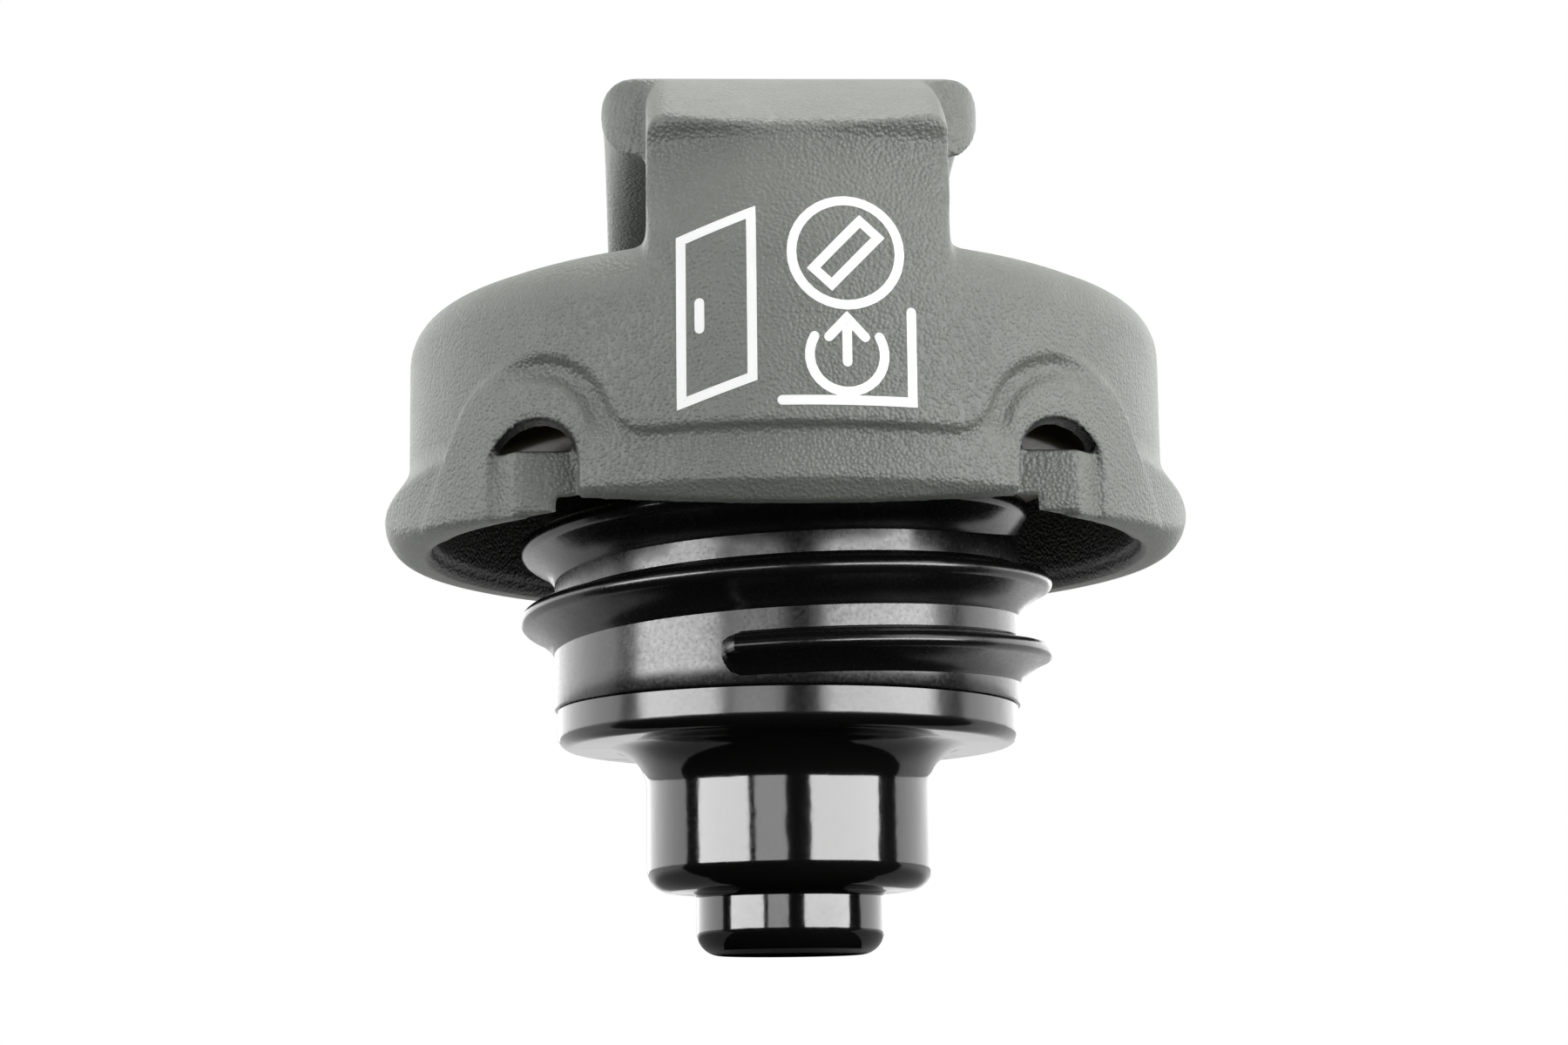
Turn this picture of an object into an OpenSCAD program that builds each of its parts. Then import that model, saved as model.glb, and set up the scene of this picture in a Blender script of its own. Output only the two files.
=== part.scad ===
// Screw-in fuel filler cap with a torque-limiting handle cover and a two-way vent valve.
// Millimetres, +Z towards the handle. The origin is on the cap's axis, at mid-height of the
// plain pilot band below the weld seam, which enters the filler neck before the thread.

/* [Thread] */
// Diameter of the barrel between the threads
barrel_d = 42.8; // [38:0.2:46]
// Height of the thread's crest above the barrel
thread_h = 3.1; // [2:0.1:3.6]
// Rise of the thread in one turn
thread_pitch = 6.5; // [5.5:0.1:7.5]
// Number of turns
thread_turns = 2.35; // [1:0.05:2.5]
// Height of the thread's blunt start above the weld seam
thread_start = 2.9; // [2.6:0.1:4]
// Where the thread starts, in degrees round from the right-hand side
thread_start_angle = -108; // [-180:1:180]

/* [Closure body] */
// Wall of the barrel
barrel_wall = 2.6; // [1.8:0.1:3.2]
// Diameter of the flange above the gasket
flange_d = 60; // [56:0.5:61]
// Thickness of the flange
flange_t = 2; // [1.5:0.1:3]
// Height of the flange's underside above the weld seam
flange_rise = 23.9; // [22:0.1:26]

/* [Neck gasket] */
// Width of the gasket, from bore to rim
gasket_w = 6.4; // [4:0.1:7]
// Thickness of the gasket
gasket_t = 3; // [2:0.1:4]

/* [Valve housing] */
// Diameter of the pilot band below the weld seam
band_d = 42.2; // [38:0.1:42.2]
// Height of the pilot band with its rounded lower edge
band_h = 3.5; // [2.5:0.1:5]
// Diameter of the lower cylinder
chamber_d = 26; // [24:0.2:29]
// Height from the lower cylinder's floor to the band's underside
chamber_h = 13.1; // [12.6:0.1:16]
// Diameter of the tip
tip_d = 17.1; // [15.6:0.1:19]
// Height of the tip
tip_h = 5.7; // [5:0.1:8]
// Wall of the housing
housing_wall = 1.8; // [1.4:0.1:2]
// Rounding at the foot of the lower cylinder
chamber_round = 2.8; // [1:0.1:3.2]
// Rounding at the foot of the tip
tip_round = 3.2; // [1:0.1:3.6]
// Hollow rounding between the lower cylinder and the shoulder
shoulder_round = 3.7; // [2:0.1:4.5]
// Diameter of the vent port in the tip
vent_d = 4; // [2:0.1:6]

/* [Handle cover] */
// Diameter of the skirt
skirt_d = 69.4; // [67:0.2:76]
// Wall of the cover
cover_wall = 2.5; // [2:0.1:3]
// Height of the rim's underside above the weld seam
rim_rise = 13.8; // [12:0.1:15]
// How far the rim bead stands out from the skirt
bead_out = 2.2; // [1:0.1:3]
// Height of the rim bead
bead_h = 8.1; // [6:0.1:9]
// Height of the dome's crown above the rim's underside
dome_rise = 26.85; // [25:0.05:32]
// Radius of the dome's crown
dome_r = 110; // [80:1:140]
// Rounding between the dome and the skirt
dome_round = 4.6; // [3.5:0.1:8]

/* [Handle] */
// Height of the handle's top above the dome's crown
handle_rise = 16.8; // [12:0.1:20]
// Radius of the crowned top of the handle
handle_crown_r = 53; // [48:1:70]
// Width of the top plate
plate_w = 33.5; // [28:0.5:38]
// Thickness of the top plate
plate_t = 6.5; // [4:0.1:8]
// Width of the handle's front wall
front_w = 25.5; // [22:0.5:30]
// Width of the web between the finger recesses
web_w = 19; // [15:0.5:21]
// Length of the finger recesses
grip_l = 42; // [34:0.5:46]
// Wall of the hollow handle
handle_wall = 2.6; // [2:0.1:3.5]

/* [Front apron and hanger slots] */
// How far the apron stands out from the skirt at the front
apron_out = 1; // [0.5:0.1:2]
// Half the angle that the apron spans
apron_half_angle = 42; // [36:1:46]
// Height of the apron's lower edge above the rim's underside
apron_rise = 6; // [4:0.1:7]
// Distance between the middles of the hanger slots
slot_spacing = 44.8; // [42:0.2:46]
// Width of a hanger slot
slot_w = 8; // [6:0.2:8.4]
// Height of the slot's arch centre above the rim's underside
slot_rise = 4.1; // [3:0.1:5]
// Radius of the arch of the smooth pad round a slot
pad_r = 7.2; // [6:0.1:8.6]
// Distance between the middles of the pads
pad_spacing = 45.4; // [42:0.2:47]
// Height of the pad's arch centre above that of the slot
pad_rise = 2.2; // [1:0.1:3]
// Lean of the pad's outer flank, in degrees
pad_lean = 21; // [10:1:30]
// Height of the lip's lower edge above the rim's underside
lip_rise = 1.6; // [1:0.1:3]
// Thickness of the lip between the slots
lip_t = 3.6; // [2.8:0.1:4.5]

/* [Click mechanism] */
// Number of ratchet teeth
tooth_count = 24; // [18:1:36]
// Height of a ratchet tooth
tooth_h = 1.5; // [1:0.1:2]
// Radius of the ratchet ring's root
ratchet_r = 18.8; // [17:0.1:20]
// Height of the ratchet ring
ratchet_h = 3.4; // [2.5:0.1:4]
// Outer radius of the click ring
click_r = 28.4; // [27:0.1:29.5]
// Radial thickness of the click ring
click_t = 2.2; // [1.8:0.1:3]
// Number of drive lugs on the click ring, each between two ribs in the cover
lug_count = 4; // [3:1:6]
// Width of a drive lug
lug_w = 5; // [3:0.1:7]

/* [Vent valves] */
// Travel of the pressure valve
pressure_travel = 2; // [1:0.1:2.4]
// Travel of the vacuum valve
vacuum_travel = 1.4; // [0.8:0.1:1.6]
// Thickness of the rubber seal
seal_t = 1.2; // [0.8:0.1:1.6]
// Thickness of the pressure valve's plate
valve_plate_t = 1.6; // [1.2:0.1:2]
// Wire of the pressure spring
pressure_wire = 0.8; // [0.6:0.1:1]
// Mean radius of the pressure spring
pressure_coil_r = 8.4; // [7.6:0.1:9]
// Wire of the vacuum spring
vacuum_wire = 0.4; // [0.3:0.05:0.5]
// Radius of the vacuum valve's stem
stem_r = 1.5; // [1.2:0.1:1.8]

/* [Fits] */
// Radial clearance of a moving or turning fit
running_gap = 0.08; // [0.05:0.01:0.1]
// Gap between pieces that are only placed beside each other
loose_gap = 0.3; // [0.2:0.05:0.4]

/* [Hidden] */
$fn = 96;

eps = 0.01;
big = 200;

// Heights of the closure, from the tip upwards
band_round = 1.2;
seam_z = (band_h - band_round) / 2;
shoulder_z = seam_z - band_h;
chamber_z = shoulder_z - chamber_h;
tip_z = chamber_z - tip_h;
flange_z = seam_z + flange_rise;
flange_top_z = flange_z + flange_t;
gasket_z = flange_z - gasket_t;
barrel_r = barrel_d / 2;
barrel_in_r = barrel_r - barrel_wall;
crest_r = barrel_r + thread_h;
gasket_in_r = barrel_r + running_gap;
gasket_out_r = barrel_r + gasket_w;

// Heights and radii of the cover
rim_z = seam_z + rim_rise;
skirt_r = skirt_d / 2;
cover_in_r = skirt_r - cover_wall;
dome_top_z = rim_z + dome_rise;
dome_centre_z = dome_top_z - dome_r;
handle_top_z = dome_top_z + handle_rise;
crown_z = handle_top_z - handle_crown_r;
web_half_w = web_w / 2;
plate_round = 2.9;
handle_set_back = 0.1;
bead_wide_z = rim_z + bead_h * 0.42;
bead_angle = 44;
apron_z = rim_z + apron_rise;
lip_z = rim_z + lip_rise;
lip_set_back = 0.12;

// The apron is a smaller dome moved forwards, so that it meets the skirt at its half angle
apron_shift = let (
  a = skirt_r + apron_out,
  c = cos(apron_half_angle)
) (a * a - skirt_r * skirt_r) / (2 * (a - skirt_r * c));
apron_r = skirt_r + apron_out - apron_shift;

// Hanger slots
slot_x = slot_spacing / 2;
slot_r = slot_w / 2;
slot_z = rim_z + slot_rise;
slot_web_z = slot_z + slot_r * 0.42;
slot_floor_y = -sqrt(skirt_r * skirt_r - pow(slot_x + slot_r * 0.4, 2));
pad_x = pad_spacing / 2;
pad_z = slot_z + pad_rise;
pad_skin_r = 40;
pad_skin_angle = 20;
pad_skin_in = 0.2;

// Click mechanism, from the flange upwards
lid_t = 1.6;
lid_z = flange_top_z;
lid_top_z = lid_z + lid_t;
click_z = lid_top_z + loose_gap;
click_top_z = click_z + ratchet_h;
tooth_r = ratchet_r + tooth_h;
click_in_r = click_r - click_t;
lug_h = 2.6;
arm_t = 1.1;
lug_r = click_r - click_t / 2;
rib_t = 1.6;
rib_z = click_top_z + loose_gap;
hook_t = 1.3;
hook_reach = flange_d / 2 - 1;
hook_angle = 20;

// Valve chamber, from the tip upwards
chamber_in_r = chamber_d / 2 - housing_wall;
tip_in_r = tip_d / 2 - housing_wall;
chamber_floor_z = chamber_z + housing_wall;
seat_r = tip_in_r + 1.2;
seat_t = 1;
seat_z = chamber_floor_z + 1;
seal_r = seat_r + seat_t + 1;
seal_hole_r = 4.9;
valve_plate_z = seat_z + seal_t;
valve_plate_top_z = valve_plate_z + valve_plate_t;
valve_plate_r = chamber_in_r - loose_gap;
guide_r = stem_r + 1.2;
guide_h = 1;
vacuum_disc_r = min(seal_hole_r + 1.1, tip_in_r - loose_gap);
vacuum_disc_t = 1.2;
vacuum_coil_r = guide_r + loose_gap + vacuum_wire / 2;
solid_spring_h = 1.8;
clip_z = valve_plate_top_z + guide_h + vacuum_travel + solid_spring_h;
clip_t = 1.1;
stem_top_z = clip_z + clip_t + 0.9;
stop_z = stem_top_z + pressure_travel + running_gap;
retainer_z = shoulder_z + housing_wall;
retainer_t = 1.4;
spring_guide_r = pressure_coil_r - 2.2;
retainer_r = barrel_in_r - running_gap - housing_wall - running_gap;

// Points of an arc about [cx, cy], radius r, from angle a0 to a1 in n steps
function arc(cx, cy, r, a0, a1, n) =
  [for (i = [0 : n]) let (a = a0 + (a1 - a0) * i / n) [cx + r * cos(a), cy + r * sin(a)]];

// Outline from the axis of a dome with a rounded shoulder and an upright skirt of radius r
function dome_outline(r, inset, foot_z) = let (
  round = max(dome_round - inset, 0.5),
  cap = dome_r - inset,
  mid = r - round,
  round_z = dome_centre_z + sqrt(pow(cap - round, 2) - mid * mid),
  lean = acos(mid / (cap - round))
) concat(
  [[0, foot_z], [r, foot_z]],
  arc(mid, round_z, round, 0, lean, 8),
  arc(0, dome_centre_z, cap, lean + (90 - lean) / 10, 90, 9)
);

// A coil spring's closed and ground outline as stacked rings, tied by one slanted wire
module coil(z0, z1, r, wire, turns) {
  pitch = (z1 - z0 - wire) / turns;
  steps = 20;
  sides = 8;
  count = round(turns * steps);
  points = [
    for (i = [0 : count], k = [0 : sides - 1]) let (
      t = i * 360 / steps,
      a = k * 360 / sides,
      d = r + wire / 2 * cos(a)
    ) [d * cos(t), d * sin(t), z0 + wire / 2 + pitch * i / steps + wire / 2 * sin(a)]
  ];
  skin = [
    for (i = [0 : count - 1], k = [0 : sides - 1]) let (
      n = (k + 1) % sides
    ) [i * sides + k, i * sides + n, (i + 1) * sides + n, (i + 1) * sides + k]
  ];
  first = [for (k = [sides - 1 : -1 : 0]) k];
  last = [for (k = [0 : sides - 1]) count * sides + k];
  polyhedron(points, concat(skin, [first, last]), convexity = 10);
}

module ring(r_out, r_in, z0, z1) {
  translate([0, 0, z0]) difference() {
    cylinder(r = r_out, h = z1 - z0);
    translate([0, 0, -1]) cylinder(r = r_in, h = z1 - z0 + 2);
  }
}

// One section of the thread: distance from the axis and height from the crest's middle
thread_nose = 0.78;
// The lower flank starts shorter, so that it stays clear of the weld seam
thread_foot = 0.72;
thread_section = concat(
  [[barrel_r - 0.6, 1.55], [barrel_r + 0.35, 1.3], [crest_r - thread_nose * 1.6, 0.9]],
  arc(crest_r - thread_nose, 0, thread_nose, 75, -75, 5),
  [[crest_r - thread_h * 0.5, -1.25], [crest_r - thread_h * 0.77, -1.95], [barrel_r + 0.3, -2.5]],
  [[barrel_r - 0.6, -3.4]]
);

module thread() {
  steps = 60;
  count = round(thread_turns * steps);
  fade = 12;
  sides = len(thread_section);
  points = [
    for (i = [0 : count], k = [0 : sides - 1]) let (
      t = thread_start_angle + i * 360 / steps,
      low = max(0, 1 - (count - i) / fade),
      foot = min(1, thread_foot + i / steps * 0.6),
      p = thread_section[k],
      d = min(p[0], barrel_r - 0.6 + (p[0] - barrel_r + 0.6) * (1 - low * 0.7)),
      z = seam_z + thread_start + thread_pitch * i / steps + (p[1] < 0 ? p[1] * foot : p[1])
    ) [d * cos(t), d * sin(t), z]
  ];
  skin = [
    for (i = [0 : count - 1], k = [0 : sides - 1]) let (
      n = (k + 1) % sides
    ) [i * sides + k, (i + 1) * sides + k, (i + 1) * sides + n, i * sides + n]
  ];
  first = [for (k = [0 : sides - 1]) k];
  last = [for (k = [sides - 1 : -1 : 0]) count * sides + k];
  polyhedron(points, concat(skin, [first, last]), convexity = 10);
}

module closure_body() {
  color([0.05, 0.05, 0.06]) difference() {
    union() {
      translate([0, 0, seam_z]) cylinder(r = barrel_r, h = flange_top_z - seam_z);
      thread();
      translate([0, 0, flange_z]) cylinder(r = flange_d / 2, h = flange_t);
    }
    translate([0, 0, seam_z - 1]) cylinder(r = barrel_in_r, h = big);
  }
}

module neck_gasket() {
  flat = gasket_w * 0.6;
  color([0.2, 0.17, 0.08]) rotate_extrude() polygon([
    [gasket_in_r, gasket_z + 0.5],
    [gasket_in_r + 0.5, gasket_z],
    [gasket_in_r + flat, gasket_z],
    [gasket_out_r - 0.4, gasket_z + 0.9],
    [gasket_out_r, gasket_z + gasket_t - 1],
    [gasket_out_r, flange_z],
    [gasket_in_r, flange_z]
  ]);
}

module valve_housing() {
  chamber_r = chamber_d / 2;
  tip_r = tip_d / 2;
  band_r = band_d / 2;
  spigot_r = barrel_in_r - running_gap;
  outer = concat(
    [[0, tip_z]],
    arc(tip_r - tip_round, tip_z + tip_round, tip_round, -90, 0, 8),
    arc(tip_r + 0.5, chamber_z - 0.5, 0.5, 180, 90, 3),
    arc(chamber_r - chamber_round, chamber_z + chamber_round, chamber_round, -90, 0, 8),
    arc(chamber_r + shoulder_round, shoulder_z - shoulder_round, shoulder_round, 180, 90, 8),
    arc(band_r - band_round, shoulder_z + band_round, band_round, -90, 0, 4),
    [[band_r, seam_z], [spigot_r, seam_z], [spigot_r, seam_z + 1.6]],
    [[spigot_r - housing_wall, seam_z + 1.6], [spigot_r - housing_wall, retainer_z]],
    [[chamber_in_r, retainer_z], [chamber_in_r, chamber_floor_z]],
    [[seat_r + seat_t, chamber_floor_z], [seat_r + seat_t, seat_z], [seat_r, seat_z]],
    [[seat_r, chamber_floor_z], [tip_in_r, chamber_floor_z], [tip_in_r, tip_z + housing_wall + 1]],
    [[tip_in_r - 1, tip_z + housing_wall], [0, tip_z + housing_wall]]
  );
  color([0.04, 0.04, 0.05]) difference() {
    rotate_extrude() polygon(outer);
    translate([0, 0, tip_z - 1]) cylinder(r = vent_d / 2, h = housing_wall + 2);
  }
}

module spring_retainer() {
  color([0.85, 0.84, 0.8]) difference() {
    union() {
      translate([0, 0, retainer_z]) cylinder(r = retainer_r, h = retainer_t);
      ring(pressure_coil_r - pressure_wire / 2 - loose_gap, spring_guide_r,
        retainer_z - 1, retainer_z + eps);
      translate([0, 0, stop_z]) cylinder(r = stem_r + 0.8, h = retainer_z - stop_z + eps);
    }
    for (a = [0 : 60 : 359]) rotate(a) translate([4.2, 0, retainer_z - 2]) cylinder(d = 2.4, h = 5);
  }
}

module pressure_spring() {
  color([0.75, 0.76, 0.78])
    coil(valve_plate_top_z, retainer_z, pressure_coil_r, pressure_wire, 4.5);
}

module pressure_plate() {
  color([0.82, 0.8, 0.74]) difference() {
    union() {
      translate([0, 0, valve_plate_z]) cylinder(r = valve_plate_r, h = valve_plate_t);
      translate([0, 0, valve_plate_top_z]) cylinder(r = guide_r, h = guide_h);
      ring(pressure_coil_r - pressure_wire / 2 - loose_gap, spring_guide_r,
        valve_plate_top_z - eps, valve_plate_top_z + 0.8);
    }
    translate([0, 0, valve_plate_z - 1]) cylinder(r = stem_r + running_gap, h = 6);
    for (a = [30 : 60 : 359]) rotate(a) translate([4.1, 0, valve_plate_z - 1]) cylinder(d = 1.4, h = 6);
  }
}

module pressure_seal() {
  color([0.1, 0.1, 0.11]) ring(seal_r, seal_hole_r, seat_z, valve_plate_z);
}

module vacuum_valve() {
  color([0.85, 0.83, 0.76]) difference() {
    union() {
      translate([0, 0, seat_z - vacuum_disc_t]) cylinder(r = vacuum_disc_r, h = vacuum_disc_t);
      translate([0, 0, seat_z - eps]) cylinder(r = stem_r, h = stem_top_z - seat_z + eps);
    }
    ring(stem_r + 1, stem_r - 0.35, clip_z, clip_z + clip_t);
  }
}

module vacuum_spring() {
  color([0.78, 0.79, 0.8])
    coil(valve_plate_top_z, clip_z, vacuum_coil_r, vacuum_wire, 5);
}

module vacuum_clip() {
  color([0.7, 0.71, 0.73]) ring(vacuum_coil_r + 0.8, stem_r - 0.3, clip_z, clip_z + clip_t);
}

// Ratchet tooth: a steep face that drives when undoing and a slope that slips when tightening
module tooth_ring() {
  step = 360 / tooth_count;
  polygon([
    for (i = [0 : tooth_count - 1], k = [0 : 2]) let (
      a = i * step + [0, 0.08, 0.94][k] * step,
      r = [ratchet_r, tooth_r, ratchet_r][k]
    ) [r * cos(a), r * sin(a)]
  ]);
}

module inner_cover() {
  lid_r = ratchet_r + 4;
  color([0.12, 0.12, 0.13]) difference() {
    union() {
      translate([0, 0, lid_z]) cylinder(r = lid_r, h = lid_t);
      translate([0, 0, lid_z - 2.4]) cylinder(r = barrel_in_r - running_gap, h = 2.4 + eps);
      translate([0, 0, lid_top_z - eps]) linear_extrude(ratchet_h + eps) tooth_ring();
    }
    translate([0, 0, lid_top_z]) cylinder(r = ratchet_r - 2, h = big);
    translate([0, 0, lid_z - 3]) cylinder(r = barrel_in_r - 2.2, h = 3);
    for (a = [0 : 90 : 359]) rotate(a) translate([9, 0, lid_z - 4]) cylinder(d = 2, h = 10);
  }
}

// A sprung arm: a root block on the click ring, a long thin beam, and a pawl between two teeth
module pawl_arm() {
  arm_out_r = click_in_r - 1.9;
  arm_in_r = arm_out_r - arm_t;
  arm_a = 48;
  polygon(concat(arc(0, 0, arm_out_r, -0.5, -arm_a, 16), arc(0, 0, arm_in_r, -arm_a, -0.5, 16)));
  polygon(concat(
    arc(0, 0, click_in_r + 0.5, 4 - arm_a, -arm_a, 2),
    arc(0, 0, arm_in_r, -arm_a, 4 - arm_a, 2)
  ));
  polygon(concat(
    arc(0, 0, arm_in_r + 0.3, -0.5, -7, 2),
    arc(0, 0, ratchet_r + 0.15, -1, -0.5, 1)
  ));
}

module torque_plate() {
  color([0.72, 0.56, 0.24]) {
    translate([0, 0, click_z]) linear_extrude(ratchet_h) union() {
      difference() {
        circle(r = click_r);
        circle(r = click_in_r);
      }
      for (i = [0 : 3]) rotate(round(i * tooth_count / 4) * 360 / tooth_count) pawl_arm();
    }
    for (i = [0 : lug_count - 1]) rotate(45 + i * 360 / lug_count)
      translate([lug_r - click_t / 2 + 0.2, -lug_w / 2, click_top_z - eps])
        cube([click_t - 0.4, lug_w, lug_h]);
  }
}

// Section of the rim bead: an ease out from the skirt, then a curl in to the opening
module bead_section() {
  wide_r = skirt_r + bead_out;
  curl_r = skirt_r - 0.5;
  top_z = rim_z + bead_h;
  ease = [for (i = [0 : 7]) let (t = i / 7)
    [skirt_r + bead_out * (1 - cos(180 * t)) / 2, top_z + (bead_wide_z - top_z) * t]];
  curl = [for (i = [1 : 8]) let (a = i * 90 / 8)
    [curl_r + (wide_r - curl_r) * cos(a), bead_wide_z - (bead_wide_z - rim_z) * sin(a)]];
  polygon(concat(
    [[cover_in_r + 0.4, top_z], [skirt_r, top_z]],
    ease,
    curl,
    [[cover_in_r + 0.9, rim_z + 0.1], [cover_in_r + 0.4, rim_z + 0.6]]
  ));
}

// The bead runs out into the pads at the front
module rim_bead() {
  intersection() {
    rotate([0, 0, -90 + bead_angle]) rotate_extrude(angle = 360 - 2 * bead_angle) bead_section();
    pad_skin(-1, 0.15);
    pad_skin(1, 0.15);
  }
}

// Solid swept about the handle's crown axis, with its section given as radius and side distance
module crown_sweep(half_angle) {
  translate([0, 0, crown_z]) rotate([0, -90, 0]) rotate([0, 0, -half_angle])
    rotate_extrude(angle = 2 * half_angle) children();
}

// Block under the crowned top, half_w to each side, with rounded upper edges and a flared foot
module block_section(half_w, round, flare) {
  foot_r = dome_top_z - crown_z - 1;
  polygon(concat(
    [[5, -half_w - flare], [foot_r, -half_w - flare]],
    arc(foot_r + flare, -half_w - flare, flare, 180, 90, 5),
    arc(handle_crown_r - round, -half_w + round, round, -90, 0, 5),
    arc(handle_crown_r - round, half_w - round, round, 0, 90, 5),
    arc(foot_r + flare, half_w + flare, flare, -90, -180, 5),
    [[5, half_w + flare]]
  ));
}

module plate_section() {
  low_r = handle_crown_r - plate_t;
  half_w = plate_w / 2;
  polygon(concat(
    arc(low_r + plate_round, -half_w + plate_round, plate_round, 180, 270, 5),
    arc(handle_crown_r - plate_round, -half_w + plate_round, plate_round, -90, 0, 5),
    arc(handle_crown_r - plate_round, half_w - plate_round, plate_round, 0, 90, 5),
    arc(low_r + plate_round, half_w - plate_round, plate_round, 90, 180, 5)
  ));
}

// Plan outlines of the handle, kept inside the apron at the front and the skirt behind
module front_plan() {
  intersection() {
    translate([0, -apron_shift]) circle(r = apron_r - handle_set_back);
    translate([-big / 2, -big]) square([big, big - grip_l / 2]);
  }
}

module rear_plan() {
  intersection() {
    circle(r = skirt_r - handle_set_back);
    translate([-big / 2, grip_l / 2]) square([big, big]);
  }
}

// Top plate's outline: full width behind, drawn in to the front wall with rounded ears
module plate_plan() {
  half_w = plate_w / 2;
  ear_y = -grip_l / 2 - 1;
  ear_round = (plate_w - front_w) / 2 + 1.5;
  intersection() {
    circle(r = skirt_r - handle_set_back);
    union() {
      translate([-half_w, ear_y + ear_round]) square([plate_w, big]);
      for (side = [-1, 1]) translate([side * (half_w - ear_round), ear_y + ear_round])
        circle(r = ear_round);
      translate([-half_w + ear_round, ear_y - 12]) square([plate_w - 2 * ear_round, 20]);
    }
  }
}

module prism(z0, z1) {
  translate([0, 0, z0]) linear_extrude(z1 - z0) children();
}

module handle_form() {
  low = dome_top_z - 12;
  // Front block
  intersection() {
    crown_sweep(60) block_section(front_w / 2, 2, 3);
    prism(low, handle_top_z + 1) front_plan();
  }
  // Rear block
  intersection() {
    crown_sweep(60) block_section(plate_w / 2, 2.9, 1.2);
    prism(low, handle_top_z + 1) rear_plan();
  }
  // Web between the finger recesses
  intersection() {
    crown_sweep(60) block_section(web_half_w, 1, 2.4);
    prism(low, handle_top_z + 1) translate([-big / 2, -grip_l / 2 - 1]) square([big, grip_l + 2]);
  }
  // Top plate
  intersection() {
    crown_sweep(60) plate_section();
    prism(low, handle_top_z + 1) plate_plan();
  }
}

// Hollow of the handle, in three bays between two cross ribs
module handle_core() {
  top_r = handle_crown_r - handle_wall;
  rib_y = grip_l / 2 - 12;
  reach = skirt_r - handle_wall - 2.4;
  bays = [
    [-reach, -grip_l / 2 - handle_wall / 2, front_w / 2 - handle_wall],
    [-grip_l / 2 - handle_wall / 2 - eps, -rib_y - rib_t / 2, web_half_w - handle_wall],
    [-rib_y + rib_t / 2, rib_y - rib_t / 2, web_half_w - handle_wall],
    [rib_y + rib_t / 2, grip_l / 2 + handle_wall / 2 + eps, web_half_w - handle_wall],
    [grip_l / 2 + handle_wall / 2, reach, plate_w / 2 - handle_wall - 1.5]
  ];
  for (b = bays) intersection() {
    crown_sweep(60) translate([5, -b[2]]) square([top_r - 5, 2 * b[2]]);
    translate([-big / 2, b[0], dome_top_z - 12]) cube([big, b[1] - b[0], 40]);
  }
}

// Front view of a hanger slot's arch, side is -1 or 1
module slot_arch(side) {
  translate([side * slot_x, slot_z]) circle(r = slot_r);
  translate([side * slot_x - slot_r, rim_z - 5]) square([slot_w, slot_z - rim_z + 5]);
}

// Front view of the smooth pad: an arch, its leaning outer flank, and a flared inner foot
module pad_arch(side) {
  flare = 3.4;
  reach = pad_r + flare;
  foot_w = sqrt(pow(reach, 2) - pow(pad_z - apron_z - flare, 2));
  foot_x = pad_x - foot_w;
  touch = asin((apron_z + flare - pad_z) / reach);
  leg_z = rim_z + 0.4;
  inner_z = lip_z + 0.3;
  inner_x = slot_x - slot_r * 0.9;
  flank_w = pad_r / cos(pad_lean) + (pad_z - leg_z) * tan(pad_lean);
  outline = concat(
    arc(pad_x, pad_z, pad_r, pad_lean, 180 - touch, 16),
    arc(foot_x, apron_z + flare, flare, -touch, -90, 6),
    [[pad_x - pad_r, apron_z], [pad_x - pad_r, inner_z], [inner_x, inner_z], [inner_x, leg_z]],
    [[pad_x + flank_w, leg_z]]
  );
  polygon([for (p = outline) [side * p[0], p[1]]]);
}

// Extrudes a front view backwards from the front of the cap to the depth y1
module from_front(y1) {
  translate([0, y1, 0]) rotate([90, 0, 0]) linear_extrude(big) children();
}

// Space behind the pad's outer skin
module pad_skin(side, inset) {
  back = pad_skin_r - (skirt_r - pad_skin_in);
  a = -90 + side * pad_skin_angle;
  translate([-back * cos(a), -back * sin(a), rim_z - 1]) cylinder(r = pad_skin_r - inset, h = 30);
}

module pad(side) {
  intersection() {
    from_front(-10) pad_arch(side);
    pad_skin(side, 0);
    translate([0, 0, rim_z]) cylinder(r = skirt_r + bead_out - 0.2, h = 30);
  }
}

// Apron over the front, with the arches of the pads cut out of it, sunk at its back into the dome
module apron() {
  sink = 0.6;
  back_y = -6;
  difference() {
    intersection() {
      translate([0, -apron_shift, -sink]) rotate_extrude()
        polygon(dome_outline(apron_r, 0, apron_z + sink));
      translate([-big / 2, back_y - big, 0]) cube([big, big, big]);
    }
    for (side = [-1, 1]) from_front(-10) pad_arch(side);
  }
}

// Lip between the hanger slots, with its underside bevelled and bowed
module lip() {
  bow_r = (pow(slot_x - slot_r, 2) + pow(lip_rise, 2)) / (2 * lip_rise);
  intersection() {
    rotate([0, 0, -90 - bead_angle]) rotate_extrude(angle = 2 * bead_angle) polygon([
      [skirt_r - lip_t, rim_z],
      [skirt_r - lip_t * 0.42, rim_z],
      [skirt_r - lip_set_back, lip_z],
      [skirt_r - lip_set_back, apron_z + 1],
      [skirt_r - lip_t, apron_z + 1]
    ]);
    from_front(-5) translate([0, rim_z + bow_r]) circle(r = bow_r);
    translate([-slot_x, -big, rim_z - 1]) cube([2 * slot_x, big, 30]);
  }
}

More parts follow.
